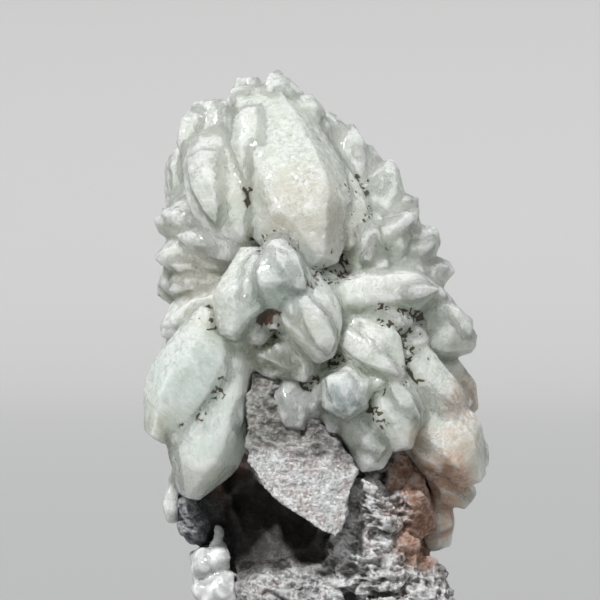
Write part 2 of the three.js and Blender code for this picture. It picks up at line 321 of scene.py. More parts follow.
def crystalPatches(bm):
    # faces that meet over edges that bulge belong to one crystal
    seen = set()
    patches = []
    for start in bm.faces:
        if start in seen:
            continue
        seen.add(start)
        patch = []
        front = [start]
        while front:
            face = front.pop()
            patch.append(face)
            for edge in face.edges:
                if edge.calc_face_angle_signed(0) < -crown["hollowLimit"]:
                    continue
                for other in edge.link_faces:
                    if other not in seen:
                        seen.add(other)
                        front.append(other)
        patches.append(patch)
    return patches


def cornersOf(patch):
    # each corner once, in the order of the faces, so that every run gives the same
    return [v.co.copy() for v in {v.index: v for face in patch for v in face.verts}.values()]


def crystalFrame(patch):
    # centre of a crystal and its own axes, the last one along it
    corners = np.array([list(co) for co in cornersOf(patch)])
    centre = corners.mean(0)
    axes = np.linalg.svd(corners - centre)[2]
    along, across = axes[0], axes[1]
    away = centre - np.array([0, 0, crown["heart"]])
    if along @ away < 0:
        along = -along
    return centre, np.stack([across, np.cross(along, across), along])


def bulges(patch, corners):
    # true where the visible faces are those of one convex crystal
    for face in patch:
        flat = face.normal.dot(face.verts[0].co)
        if max(face.normal.dot(corner) for corner in corners) > flat + crown["mostHollow"]:
            return False
    return True


def growPlates(bm, patches):
    # smaller crystals of the same form and set stand a little proud of each large one
    dice = random.Random(crown["seed"])
    owner = [0] * len(bm.faces)
    bm.faces.index_update()
    for number, patch in enumerate(patches):
        for face in patch:
            owner[face.index] = number
    grown = bmesh.new()
    count = 0
    for number, patch in enumerate(patches):
        area = sum(face.calc_area() for face in patch)
        corners = cornersOf(patch)
        if area < crown["leastArea"] or not bulges(patch, corners):
            continue
        form = bmesh.new()
        made = [form.verts.new(corner) for corner in corners]
        bmesh.ops.convex_hull(form, input=made, use_existing_faces=False)
        bmesh.ops.delete(form, geom=[v for v in form.verts if not v.link_faces], context="VERTS")
        formMesh = meshOf(form, "form")
        faces = len(form.faces)
        form.free()
        centre = sum(corners, Vector()) / len(corners)
        middle, axes = crystalFrame(patch)
        own = Matrix(axes.tolist()).to_4x4()
        fatter = Matrix.Diagonal((crown["plump"], crown["plump"], crown["longer"], 1))
        fat = Matrix.Translation(middle) @ own.transposed() @ fatter @ own
        fat = fat @ Matrix.Translation(-Vector(middle))
        formMesh.transform(fat)
        grown.from_mesh(formMesh)
        formMesh.transform(fat.inverted())
        owner += [number] * faces
        weights = [face.calc_area() for face in patch]
        for kind in crown["plates"]:
            wanted = min(kind["most"], int(dice.random() + area / kind["area"]))
            for face in dice.choices(patch, weights=weights, k=wanted):
                spot = fat @ spotOn(face, dice)
                size = dice.uniform(*kind["size"])
                middle = spot + face.normal * dice.uniform(*kind["rise"]) - (spot - centre) * size
                place = Matrix.Translation(middle) @ Matrix.Scale(size, 4)
                place = place @ Matrix.Translation(-centre)
                formMesh.transform(place)
                grown.from_mesh(formMesh)
                formMesh.transform(place.inverted())
                owner += [number] * faces
                count += 1
    bm.from_mesh(meshOf(grown, "grown"))
    grown.free()
    bm.normal_update()
    print("crown:", len(patches), "crystals,", count, "plates on them")
    return owner


def addSmallCrystal(bm, root, tip, wide, flat, dice):
    # a full-bellied six-sided crystal: the corners of its rings and its blunt tip in one hull
    along = (tip - root).normalized()
    turn = along.to_track_quat("Z", "Y").to_matrix().to_4x4()
    angle = dice.uniform(-0.3, 0.3) if flat else dice.uniform(0, math.pi)
    spin = Matrix.Rotation(angle, 4, "Z")
    squeeze = Matrix.Diagonal((1, dice.uniform(*crown["squeeze"]), 1, 1))
    length = (tip - root).length
    corners = []
    for share, radius in crown["rings"]:
        place = Matrix.Translation(root + along * length * share) @ turn @ spin @ squeeze
        made = bmesh.ops.create_circle(
            bm, cap_ends=False, radius=radius * wide, segments=6, matrix=place)
        for corner in made["verts"]:
            corner.co += jitter(dice, 1) * crown["uneven"] * wide
        corners += made["verts"]
    lean = dice.uniform(-0.1, 0.1)
    for side in (-1, 1):
        across = (lean + side * crown["blunt"]) * wide
        deep = dice.uniform(-0.08, 0.08) * wide
        low = dice.uniform(-0.12, 0) * wide
        corners.append(bm.verts.new(tip + turn @ Vector((across, deep, low))))
    bmesh.ops.convex_hull(bm, input=corners, use_existing_faces=False)


def frontHit(tree, px, py):
    # the crown's surface behind a point of the picture, from the front
    x, z = frontPlace(px, py)
    return tree.ray_cast(Vector((x, view["rayStart"], z)), Vector((0, 1, 0)))[0]


def addFrontCrystals(bm, owner, first):
    # crystals that lie on the faces of the large ones
    tree = BVHTree.FromBMesh(bm)
    for number, (rootX, rootY, tipX, tipY, wide, rise) in enumerate(frontCrystals):
        dice = random.Random(crown["seed"] + rootX * view["pictureWide"] + rootY)
        root, tip = frontHit(tree, rootX, rootY), frontHit(tree, tipX, tipY)
        middle = frontHit(tree, (rootX + tipX) / 2, (rootY + tipY) / 2)
        if middle is None:
            continue
        rootPlace, tipPlace = frontPlace(rootX, rootY), frontPlace(tipX, tipY)
        depth = crown["bury"] * wide - rise * crown["rise"]
        slope = 0 if root is None or tip is None else (tip.y - root.y) / 2
        slope = max(-crown["mostSlope"], min(crown["mostSlope"], slope))
        root = Vector((rootPlace[0], middle.y - slope + depth + crown["sink"], rootPlace[1]))
        tip = Vector((tipPlace[0], middle.y + slope + depth, tipPlace[1]))
        before = len(bm.faces)
        addSmallCrystal(bm, root, tip, wide, True, dice)
        owner += [first + number] * (len(bm.faces) - before)
    bm.normal_update()


def fillGaps(bm, owner, crystals):
    # small crystals crowd the deep gaps between the large ones
    dice = random.Random(crown["seed"] + 2)
    mesh = remeshed(meshOf(bm, "gaps"), crown["gapVoxel"])
    spots = spotsOf(mesh)
    outwards = relaxed(normalsOf(mesh), edgesOf(mesh), crown["outwardRounds"])
    depth = hollowness(mesh, crown["gapRounds"])
    lowest = spots[:, 2].min() + crown["gapLowest"]
    kept = []
    for i in np.argsort(-depth).tolist():
        if depth[i] <= crown["gapDepth"]:
            break
        if spots[i, 2] <= lowest:
            continue
        spot = Vector(spots[i])
        if all((spot - other).length > crown["gapSpacing"] for other, _, _ in kept):
            kept.append((spot, Vector(outwards[i]), depth[i]))
    for spot, out, deep in kept:
        along = (out.normalized() + jitter(dice, crown["smallLean"])).normalized()
        tip = spot + along * (deep * crown["smallFill"] + dice.uniform(*crown["smallTip"]))
        wide = dice.uniform(*crown["smallWide"])
        before = len(bm.faces)
        addSmallCrystal(bm, spot - along * crown["smallRoot"], tip, wide, False, dice)
        owner += [crystals + len(owner) % crown["gapTints"]] * (len(bm.faces) - before)
    bm.normal_update()
    print("crown:", len(kept), "small crystals in the gaps")


def fillCreases(mesh, rounds, share):
    # raises the creases towards a smoothed surface and leaves the edges of the crystals crisp
    lifted(mesh, np.maximum(hollowness(mesh, rounds), 0) * share)


def toCrystals(spots, tree, owner):
    # which crystal each point belongs to
    found = tree.find_nearest
    return np.array([owner[found(p)[2]] for p in spots.tolist()])


def frostAndTopLightOf(spots, normals):
    # frost lies in patches on what faces up; as colour it is partly real frosting and partly a
    # painted highlight where light from above falls
    patches = noiseAt(spots, crown["frostSize"], 6) * 0.55
    return ramp(normals[:, 2] * 0.55 + patches, -0.35, 0.45)


def growthSteps(spots, local):
    # overlapping shingles along each crystal, in mm
    wander = noiseAt(local * np.array([1, 1, 0.45]), 2.0, 1)
    phase = local[:, 2] / crown["shinglePeriod"] + crown["shingleWander"] * wander
    phase = phase + crown["shingleRagged"] * noiseAt(spots, 0.8, 2)
    saw = phase - np.floor(phase)
    patchy = ramp(noiseAt(spots, crown["shinglePatch"], 3), -0.35, 0.35)
    return crown["shingle"] * (saw - ramp(saw, 0.8, 1.0) - 0.4) * (0.25 + 0.75 * patchy)


def buildCrown(material):
    bm = bareCopy("crystal_crown")
    patches = crystalPatches(bm)
    frames = [crystalFrame(patch) for patch in patches]
    owner = growPlates(bm, patches)
    fillGaps(bm, owner, len(patches))
    addFrontCrystals(bm, owner, len(patches) + crown["gapTints"])
    added = crown["gapTints"] + len(frontCrystals)
    frames += [(np.array([0, 0, crown["heart"] + i]), np.eye(3)) for i in range(added)]
    centres = np.array([centre for centre, _ in frames])
    axes = np.array([axis for _, axis in frames])
    tree = BVHTree.FromBMesh(bm)
    mesh = outerShell(remeshed(meshOf(bm, "coarse"), crown["voxel"]))
    bm.free()
    for rounds, share in crown["creaseFill"]:
        fillCreases(mesh, rounds, share)
    smoothMesh(mesh, crown["rounding"])
    print("crown remeshed:", len(mesh.polygons), "faces")

    spots = spotsOf(mesh)
    normals = normalsOf(mesh)
    crystal = toCrystals(spots, tree, owner)
    local = np.einsum("nij,nj->ni", axes[crystal], spots - centres[crystal])
    local[:, 0] += crystal * crown["stepShift"]
    large, small = crown["swellSizes"]
    swell = noiseAt(spots, large, 4) * 0.7 + noiseAt(spots, small, 5) * 0.3
    lift = crown["swell"] * swell + growthSteps(spots, local)
    lift += crown["sugar"] * noiseAt(spots, crown["sugarSize"], 7) * frostAndTopLightOf(spots, normals)
    lifted(mesh, lift)
    mesh = thinned(mesh, crown["triangles"])
    print("crown thinned:", len(mesh.polygons), "faces")

    spots = spotsOf(mesh)
    normals = normalsOf(mesh)
    crystal = toCrystals(spots, tree, owner)
    dice = random.Random(crown["seed"] + 1)
    tints = np.array([dice.random() for _ in frames])
    tint = relaxed(tints[crystal][:, None], edgesOf(mesh), 3)[:, 0]
    fine, wide = [hollowness(mesh, rounds) for rounds in crown["hollowRounds"]]
    # crease marks where painted shade darkens the crystals
    crease = np.clip(0.6 * ramp(fine, 0.02, 0.16) + 0.8 * ramp(wide, 0.1, 0.7), 0, 1)
    hollow = ramp(fine, 0.0, 0.16) + ramp(wide, 0.1, 0.9)
    # ridge marks the convex edges that get a painted highlight, partly their frosting
    ridge = ramp(-fine, 0.015, 0.12)
    along = ((spots - centres[crystal]) * axes[crystal][:, 2]).sum(1)
    values = {
        "tint": tint,
        "along": relaxed(along[:, None], edgesOf(mesh), 2)[:, 0],
        "crease": crease,
        "ridge": ridge,
        **{name: spotShare(spots, places) for name, places in crownPlaces.items()},
    }
    # the listed frost places take in spots of painted highlight as well as frost
    values["frostAndHighlight"] = np.maximum(frostAndTopLightOf(spots, normals), 1.4 * values["frostAndHighlight"])
    values["dirt"] *= ramp(hollow + 0.2 * noiseAt(spots, 0.5, 8), 0.12, 0.4)
    values["bareRock"] *= ramp(hollow, 0.05, 0.3)
    keepValues(mesh, values)
    finishPiece(mesh, "quartzCrown", "crystal_crown", material)


# Crystals on the crown's front: root px, py, tip px, py, width and rise in mm
frontCrystals = [
    (352, 300, 440, 288, 5, 0.8), (358, 318, 402, 316, 3.2, 0.9), (395, 338, 420, 325, 3.4, 0.8),
    (402, 352, 426, 346, 3.2, 0.8), (345, 335, 398, 374, 8.4, 1.2), (335, 372, 350, 414, 6.4, 1.2),
    (385, 380, 415, 425, 7, 1.1), (345, 415, 380, 460, 9, 1.6), (322, 383, 300, 432, 8, 1.3),
    (282, 378, 292, 425, 5, 0.8), (420, 380, 460, 425, 7.4, 1),
    (430, 305, 474, 340, 8.4, 1), (415, 440, 450, 466, 6.5, 0.8),
    (430, 500, 445, 538, 7, 1), (455, 380, 470, 415, 4.4, 0.6), (345, 245, 378, 225, 3.8, 1),
    (365, 262, 372, 222, 4.4, 1), (380, 240, 415, 212, 5.4, 1), (395, 262, 434, 240, 6, 1),
    (405, 282, 448, 266, 5.2, 1), (370, 205, 385, 172, 5, 1), (385, 215, 412, 198, 4.4, 0.9),
    (350, 170, 360, 142, 5, 1), (335, 150, 338, 122, 5, 1), (362, 190, 376, 158, 5, 0.8),
    (252, 116, 262, 198, 8, 0.5), (280, 130, 276, 74, 7, 0.9),
    (296, 140, 309, 94, 9, 0.9), (246, 118, 246, 88, 7, 0.8),
    (205, 165, 202, 108, 10, 1), (210, 160, 232, 232, 11, 1.2), (178, 195, 180, 152, 4.6, 0.8),
    (205, 232, 163, 212, 6.6, 1), (242, 250, 176, 236, 5.6, 1), (228, 264, 168, 266, 5, 0.9),
    (215, 285, 168, 292, 5.4, 0.9), (222, 300, 163, 328, 6, 0.9), (275, 248, 302, 296, 8, 1),
    (264, 258, 230, 328, 7, 1), (300, 296, 330, 356, 8.6, 1), (288, 290, 312, 344, 5.4, 0.8),
    (225, 345, 236, 378, 5.4, 0.8),
    (234, 388, 240, 428, 4.8, 0.7), (245, 345, 312, 374, 6.4, 0.9),
]

# Places on the crown's front: px, py, radius in mm, strength
crownPlaces = {
    "frostAndHighlight": [
        (262, 120, 3, 1), (275, 140, 3, 1), (288, 155, 3, 1), (305, 130, 4, 0.6),
        (212, 118, 4, 0.9), (200, 165, 3.4, 1), (175, 210, 4, 1), (195, 238, 4, 1),
        (225, 244, 4, 1), (315, 180, 3, 0.8), (345, 130, 4, 0.8), (365, 165, 4, 0.8),
        (262, 258, 4, 1), (285, 245, 3.4, 1), (240, 290, 3.6, 0.9), (320, 305, 4, 0.9),
        (375, 288, 5, 1), (410, 285, 4, 0.9), (415, 225, 4, 0.9), (432, 268, 4, 0.9),
        (355, 345, 3.6, 0.8), (445, 325, 4, 0.6), (350, 385, 3, 0.8), (440, 385, 4, 0.8),
        (455, 415, 4, 0.9), (430, 440, 3.6, 0.9), (180, 345, 4, 0.7), (235, 360, 3, 0.6),
        (195, 425, 3, 0.7), (225, 420, 3.4, 0.6), (300, 410, 4, 0.5), (170, 330, 4, 0.8),
        (395, 430, 3, 0.5),
    ],
    "honey": [
        (305, 215, 10, 0.9), (330, 240, 6, 0.8), (200, 275, 7, 0.7), (240, 180, 6, 0.4),
        (300, 330, 4, 0.3),
    ],
    "rose": [
        (440, 475, 7, 1), (465, 400, 6, 0.7), (435, 515, 6, 1), (420, 450, 6, 0.5),
        (455, 440, 5, 0.5),
    ],
    "blue": [
        (290, 275, 8, 0.45), (190, 370, 9, 0.55), (215, 425, 8, 0.4), (343, 393, 4.5, 1),
        (250, 300, 6, 0.4),
    ],
    "olive": [(268, 357, 5, 0.9), (155, 430, 4, 0.6), (215, 320, 3, 0.5), (290, 365, 4, 0.5)],
    "smoke": [(300, 405, 6, 0.9), (395, 405, 5, 0.5), (180, 480, 4, 0.4), (370, 430, 4, 0.3)],
    "dirt": [
        (211, 317, 3.2, 1), (207, 322, 2.4, 1), (250, 200, 2.6, 0.9), (267, 236, 2.6, 0.9),
        (253, 248, 3, 0.9), (352, 190, 4, 0.8), (358, 215, 3, 0.8), (391, 313, 4.5, 1),
        (410, 320, 3, 1), (414, 353, 5, 1), (416, 372, 2.4, 1), (397, 378, 2, 1), (382, 380, 3, 1),
        (380, 414, 3, 1), (309, 379, 2.4, 0.9), (336, 361, 2.2, 0.8), (195, 412, 4, 0.7),
        (222, 385, 3, 0.7), (272, 324, 3.4, 1), (329, 268, 4.4, 1), (405, 345, 5, 1),
        (370, 400, 2.4, 1), (300, 240, 4, 0.5), (380, 240, 5, 0.4),
    ],
    "bareRock": [
        (272, 322, 2.4, 1), (262, 345, 1.6, 0.8), (322, 256, 2.6, 1), (345, 280, 2, 0.9),
        (312, 284, 2, 0.9),
    ],
}


# The rock

stalk = {
    "voxel": 0.25,
    "rounding": 5,
    "crags": 0.28,           # mm
    "cragSize": 5.5,
    "cragForm": (0.9, 2.1, 5, 1.0, 2.0),   # roughness, lacunarity, octaves, offset, gain
    "wrinkles": 0.32,        # mm, fine ledges that run round the rock
    "wrinkleSize": (2.3, 2.3, 0.62),
    "tilt": 0.22,            # how steeply they run up to the right
    "waver": 0.9,            # mm that they waver up and down
    "folds": 0.7,
    "foldSize": (4.2, 4.2, 1.7),
    "grit": 0.09,
    "hollowRounds": (6, 50),
    "caveDepth": 3.2,        # mm that the dark cave is deeper than the solid
    "caveFront": (-14.5, -12),   # mm, it fades in between these depths
    "slabBack": -13,         # mm, the pale slab lies in front of this
    "foot": 1.2,             # mm over the floor where the relief reaches its full height
    "triangles": 195000,
}


def stalkMasks(spots):
    masks = {name: spotShare(spots, places) for name, places in stalkPlaces.items()}
    masks["pale"] *= spots[:, 1] < stalk["slabBack"]
    masks["cave"] *= ramp(spots[:, 1], *stalk["caveFront"])
    return masks


def folded(spots, form, size, seed):
    # sharp crests where the noise passes zero, stretched by the form
    return np.abs(noiseAt(spots / np.array(form), size, seed))


def buildStalk(material):
    bm = bareCopy("rock_stalk")
    mesh = outerShell(remeshed(meshOf(bm, "coarse"), stalk["voxel"]))
    bm.free()
    smoothMesh(mesh, stalk["rounding"])
    spots = spotsOf(mesh)
    cave = relaxed(stalkMasks(spots)["cave"][:, None], edgesOf(mesh), 20)[:, 0]
    spots[:, 1] += stalk["caveDepth"] * cave
    moveTo(mesh, spots)
    masks = stalkMasks(spots)
    pale, ridged = masks["pale"], masks["ridged"]
    crags = cragsAt(spots, stalk["cragSize"], 1)
    waver = spots[:, :1] * stalk["tilt"] + stalk["waver"] * noiseAt(spots, 3.4, 6)[:, None]
    tilted = spots + np.array([0, 0, 1]) * waver
    ledges = 0.45 - folded(tilted, stalk["wrinkleSize"], 1.0, 2) * 1.6
    ledges += 0.4 * (0.5 - folded(tilted, stalk["wrinkleSize"], 0.45, 3) * 1.6)
    folds = 0.6 - folded(tilted, stalk["foldSize"], 1.0, 7) * 2
    grit = (noiseAt(spots, 0.42, 4) + 0.5 * noiseAt(spots, 0.9, 5)) * (1 + 1.2 * pale)
    wrinkled = (0.6 + 0.5 * ridged) * (1 - 0.65 * pale)
    wrinkled *= 1 - 0.75 * np.maximum(masks["rust"], cave)
    lift = stalk["crags"] * crags * (1 - 0.6 * pale + 0.7 * ridged) * (1 - 0.6 * cave)
    lift += stalk["wrinkles"] * ledges * wrinkled + stalk["grit"] * grit
    lift += stalk["folds"] * folds * (0.3 + 0.7 * ridged) * (1 - pale) * (1 - cave)
    lift *= ramp(spots[:, 2], 0.0, stalk["foot"])
    moveTo(mesh, spots + normalsOf(mesh) * lift[:, None])
    mesh = thinned(mesh, stalk["triangles"])
    spots = spotsOf(mesh)
    normals = normalsOf(mesh)
    fine, wide = [hollowness(mesh, rounds) for rounds in stalk["hollowRounds"]]
    values = {
        # crease marks where painted shade darkens the rock
        "crease": np.clip(0.35 * ramp(fine, 0.02, 0.12) + 0.75 * ramp(wide, 0.08, 0.6), 0, 1),
        # ridge marks the crests that get a painted highlight
        "ridge": ramp(-fine, 0.005, 0.09),
        # faces turned up and towards the key light, which get pale dust and painted light
        "upwards": ramp(normals @ np.array([-0.25, -0.45, 0.85]), 0.0, 0.7),
        **stalkMasks(spots),
    }
    keepValues(mesh, values)
    finishPiece(mesh, "rockStalk", "rock_stalk", material)


# Places on the rock's front: px, py, radius in mm, strength
stalkPlaces = {
    "pale": [
        (268, 462, 4, 1), (285, 470, 5.5, 1), (303, 482, 6, 1), (318, 500, 6, 1), (330, 514, 4, 1),
        (336, 478, 5, 1), (300, 454, 4, 0.5), (322, 468, 4, 0.7),
    ],
    "ridged": [
        (368, 490, 4, 0.9), (385, 505, 5, 0.8), (370, 525, 6, 1), (358, 550, 7, 1),
        (345, 575, 7, 0.9), (378, 560, 6, 0.9), (398, 582, 6, 1), (422, 592, 6, 1),
        (275, 582, 7, 0.6), (302, 592, 6, 0.7), (262, 597, 5, 0.6),
    ],
    "rust": [
        (405, 480, 5, 0.9), (412, 510, 6, 1), (416, 540, 6, 1), (408, 465, 4, 0.8),
        (232, 465, 4, 0.7), (222, 482, 4, 0.6), (395, 500, 4, 0.6),
    ],
    "steel": [
        (190, 505, 6, 1), (180, 490, 4, 1), (200, 520, 5, 1), (320, 582, 5, 0.7),
        (340, 590, 4, 0.6),
    ],
    # the cave is set back and painted with shade
    "cave": [
        (238, 482, 4, 1), (245, 512, 6, 1), (265, 500, 6, 1), (285, 522, 6, 1), (302, 538, 5, 1),
        (322, 542, 4, 1), (228, 540, 6, 1), (250, 546, 6, 1), (215, 500, 4, 0.8),
        (275, 545, 5, 0.9),
    ],
    "moss": [(264, 400, 5, 0.8), (268, 425, 5, 0.7), (262, 375, 4, 0.8), (300, 435, 4, 0.4)],
}


# The lobed growth

lobes = {
    "voxel": 0.18,
    "rounding": 8,
    "swell": 0.1,
    "seed": 5,
    "beads": 60,
    "beadSize": (0.9, 2.0),  # mm
    "beadSink": 0.45,        # how deep a bead's middle lies, over its radius
    "creaseRounds": 20,      # smoothing rounds that find the creases between them
    "creaseRange": (0.03, 0.3),   # mm
    "rockGap": 0.4,          # mm
    "triangles": 60000,
}


def buildLobes(material):
    bm = bareCopy("lobed_growth")
    rock = bareCopy("rock_stalk")
    rockTree = BVHTree.FromBMesh(rock)
    rock.free()
    dice = random.Random(lobes["seed"])
    sides = list(bm.faces)
    weights = [face.calc_area() for face in sides]
    for face in dice.choices(sides, weights=weights, k=lobes["beads"]):
        spot = spotOn(face, dice)
        radius = dice.uniform(*lobes["beadSize"])
        spot -= face.normal * radius * lobes["beadSink"]
        if rockTree.find_nearest(spot)[3] > radius + lobes["rockGap"]:
            place = Matrix.Translation(spot)
            bmesh.ops.create_icosphere(bm, subdivisions=3, radius=radius, matrix=place)
    mesh = outerShell(remeshed(meshOf(bm, "coarse"), lobes["voxel"]))
    bm.free()
    smoothMesh(mesh, lobes["rounding"])
    lifted(mesh, lobes["swell"] * noiseAt(spotsOf(mesh), 1.8, 9))
    mesh = thinned(mesh, lobes["triangles"])
    # the creases between the beads, where painted shade goes
    creaseShade = ramp(hollowness(mesh, lobes["creaseRounds"]), *lobes["creaseRange"])
    keepValues(mesh, {"crease": creaseShade})
    finishPiece(mesh, "lobedGrowth", "lobed_growth", material)


# Materials

nodeGrid = {"wide": 220, "high": 320, "across": 10}


def setSockets(node, values):
    # each value is a socket to link, a plain value, or a colour without its alpha
    for name, value in values.items():
        socket = node.inputs[name]
        if isinstance(value, bpy.types.NodeSocket):
            node.id_data.links.new(value, socket)
        elif socket.type == "RGBA":
            socket.default_value = (*value, 1)
        else:
            socket.default_value = value


def addNode(tree, kind, sockets, settings=None):
    # nodes are laid out in rows as they are added
    row, column = divmod(len(tree.nodes), nodeGrid["across"])
    made = tree.nodes.new("ShaderNode" + kind)
    made.location = (column * nodeGrid["wide"], -row * nodeGrid["high"])
    for name, value in (settings or {}).items():
        setattr(made, name, value)
    setSockets(made, sockets)
    return made


def colourMix(tree, share, low, high):
    colours = {0: share, 6: low, 7: high}
    return addNode(tree, "Mix", colours, {"data_type": "RGBA"}).outputs[2]


def mathNode(tree, operation, first, second=0.0):
    made = addNode(tree, "Math", {0: first, 1: second}, {"operation": operation})
    return made.outputs[0]


def times(tree, first, second):
    return mathNode(tree, "MULTIPLY", first, second)


def larger(tree, first, second):
    return mathNode(tree, "MAXIMUM", first, second)


def vectorNode(tree, operation, sockets):
    made = addNode(tree, "VectorMath", sockets, {"operation": operation})
    return made.outputs["Value" if operation == "DOT_PRODUCT" else "Vector"]


def rangeNode(tree, value, low, high, outLow=0.0, outHigh=1.0):
    limits = {"From Min": low, "From Max": high, "To Min": outLow, "To Max": outHigh}
    sockets = {"Value": value, **limits}
    made = addNode(tree, "MapRange", sockets, {"interpolation_type": "SMOOTHSTEP"})
    return made.outputs["Result"]


def between(tree, mask, outLow, outHigh):
    # takes a mask from 0 to 1 to other limits
    return rangeNode(tree, mask, 0, 1, outLow, outHigh)


def attributeNode(tree, name):
    return addNode(tree, "Attribute", {}, {"attribute_name": name}).outputs["Fac"]


def millimetres(tree, stretch=(1, 1, 1)):
    place = addNode(tree, "TexCoord", {}).outputs["Object"]
    scale = [metre * s for s in stretch]
    return addNode(tree, "Mapping", {"Vector": place, "Scale": scale}).outputs["Vector"]


def noiseNode(tree, where, scale, detail, roughness, distortion=0.0):
    made = addNode(tree, "TexNoise", {
        "Vector": where,
        "Scale": scale,
        "Detail": detail,
        "Roughness": roughness,
        "Distortion": distortion,
    })
    return made.outputs["Fac"]


def bumpNode(tree, height, distance, strength, before=None):
    sockets = {"Height": height, "Distance": distance, "Strength": strength}
    if before is not None:
        sockets["Normal"] = before
    return addNode(tree, "Bump", sockets).outputs["Normal"]


def newGroup(name, inputs, outputs):
    # a group takes coordinates in mm and its own inputs, given here with their first values
    group = bpy.data.node_groups.new(name, "ShaderNodeTree")
    newSocket = group.interface.new_socket
    newSocket(name="Coordinates", in_out="INPUT", socket_type="NodeSocketVector")
    for label, value in inputs.items():
        kind = "NodeSocketFloat" if isinstance(value, float) else "NodeSocketColor"
        newSocket(name=label, in_out="INPUT", socket_type=kind).default_value = value
    for label in outputs:
        kind = "NodeSocketColor" if label == "Colour" else "NodeSocketFloat"
        newSocket(name=label, in_out="OUTPUT", socket_type=kind)
    given = group.nodes.new("NodeGroupInput").outputs
    return group, given, group.nodes.new("NodeGroupOutput")


def useGroup(tree, group, where, sockets):
    made = addNode(tree, "Group", {}, {"node_tree": group})
    setSockets(made, {"Coordinates": where, **sockets})
    return made.outputs


def makeGrainGroup():
    # crystalline grain: packed grains with fine grit over them; its sparkle picks cells that are
    # painted white as glints
    inputs = {"Grains per mm": 2.0, "Grit": 0.4}
    group, given, end = newGroup("crystallineGrain", inputs, ("Height", "Sparkle"))
    where, scale = given["Coordinates"], given["Grains per mm"]
    cells = addNode(group, "TexVoronoi", {"Vector": where, "Scale": scale}).outputs
    fine = noiseNode(group, where, times(group, scale, 2.7), 3, 0.65)
    rounded = mathNode(group, "SUBTRACT", 1.0, cells["Distance"])
    height = mathNode(group, "ADD", rounded, times(group, fine, given["Grit"]))
    split = addNode(group, "SeparateColor", {0: cells["Color"]})
    sparkle = rangeNode(group, split.outputs[0], 0.72, 0.98)
    setSockets(end, {"Height": height, "Sparkle": sparkle})
    return group


def makeCloudGroup():
    # slow cloudiness between two colours, with paler veils through it
    inputs = {
        "Clouds per mm": 0.2,
        "Colour": (0.5, 0.5, 0.5, 1),
        "Cloud colour": (0.8, 0.8, 0.8, 1),
    }
    group, given, end = newGroup("cloudyTint", inputs, ("Colour", "Mask"))
    clouds = noiseNode(group, given["Coordinates"], given["Clouds per mm"], 5, 0.6, 0.6)
    mask = rangeNode(group, clouds, 0.36, 0.66)
    colour = colourMix(group, mask, given["Colour"], given["Cloud colour"])
    setSockets(end, {"Colour": colour, "Mask": mask})
    return group


def makeStepGroup():
    # thin growth steps that follow the contours of a slow noise
    inputs = {"Size": 0.3, "Steps": 12.0}
    group, given, end = newGroup("growthSteps", inputs, ("Height", "Edge"))
    slow = noiseNode(group, given["Coordinates"], given["Size"], 3, 0.55, 0.3)
    climb = times(group, slow, given["Steps"])
    rise = rangeNode(group, mathNode(group, "FRACT", climb), 0.72, 1.0)
    whole = mathNode(group, "ADD", mathNode(group, "FLOOR", climb), rise)
    near = mathNode(group, "ABSOLUTE", mathNode(group, "SUBTRACT", rise, 0.5))
    height = mathNode(group, "DIVIDE", whole, given["Steps"])
    setSockets(end, {"Height": height, "Edge": rangeNode(group, near, 0.5, 0.1)})
    return group


def makeFacetGroup():
    # small flat faces side by side, each tilted its own way
    group, given, end = newGroup("tiltedFacets", {"Faces per mm": 1.0}, ("Height",))
    where = given["Coordinates"]
    cells = addNode(group, "TexVoronoi", {"Vector": where, "Scale": given["Faces per mm"]}).outputs
    offset = vectorNode(group, "SUBTRACT", {0: where, 1: cells["Position"]})
    lean = vectorNode(group, "SUBTRACT", {0: cells["Color"], 1: (0.5, 0.5, 0.5)})
    setSockets(end, {"Height": vectorNode(group, "DOT_PRODUCT", {0: offset, 1: lean})})
    return group


def newMaterial(name):
    material = bpy.data.materials.new(name)
    material.use_nodes = True
    tree = material.node_tree
    surface = tree.nodes["Principled BSDF"]
    surface.location = (nodeGrid["wide"], nodeGrid["high"])
    tree.nodes["Material Output"].location = (nodeGrid["wide"] * 3, nodeGrid["high"])
    return material, tree, surface


def coverWith(surface, colour, roughness, normal, look):
    links = {"Base Color": colour, "Roughness": roughness, "Normal": normal}
    setSockets(surface, {**links, **look["surface"]})


crownLook = {
    "clouds": {
        "Clouds per mm": 0.16,
        "Colour": (0.70, 0.755, 0.66),
        "Cloud colour": (0.82, 0.86, 0.765),
    },
    "frostAndHighlight": (0.965, 0.985, 0.94),
    # painted shade for the creases
    "crease": (0.50, 0.49, 0.41),
    "dirt": (0.17, 0.145, 0.095),
    "rock": (0.19, 0.10, 0.06),
    "zones": {               # colour, and the most of it that shows
        "honey": ((0.76, 0.71, 0.61), 0.85),
        "rose": ((0.74, 0.445, 0.295), 0.9),
        "blue": ((0.62, 0.745, 0.77), 0.8),
        "olive": ((0.47, 0.49, 0.37), 0.85),
        "smoke": ((0.42, 0.44, 0.43), 0.8),
    },
    "patternShift": 60.0,    # mm, the most that one crystal's patterns are moved
    "steps": {"Size": 0.28, "Steps": 16.0},
    "flecks": {"Grains per mm": 1.5, "Grit": 0.5},
    "grains": {"Grains per mm": 3.2, "Grit": 0.6},
    "planes": {"Faces per mm": 0.42},
    "facets": {"Faces per mm": 1.15},
    "stepBump": 0.0015,      # metres, as the bumps below
    "striaBump": 0.001,
    "grainBump": 0.0002,
    "planeBump": 0.00045,
    "facetBump": 0.0008,
    "surface": {
        "IOR": 1.54,
        "Coat Weight": 0.3,
        "Coat Roughness": 0.12,
        "Subsurface Weight": 1.0,
        "Subsurface Radius": (1.0, 1.0, 0.95),
        "Subsurface Scale": 0.0045,   # metres the light travels inside
        "Transmission Weight": 0.06,
    },
}


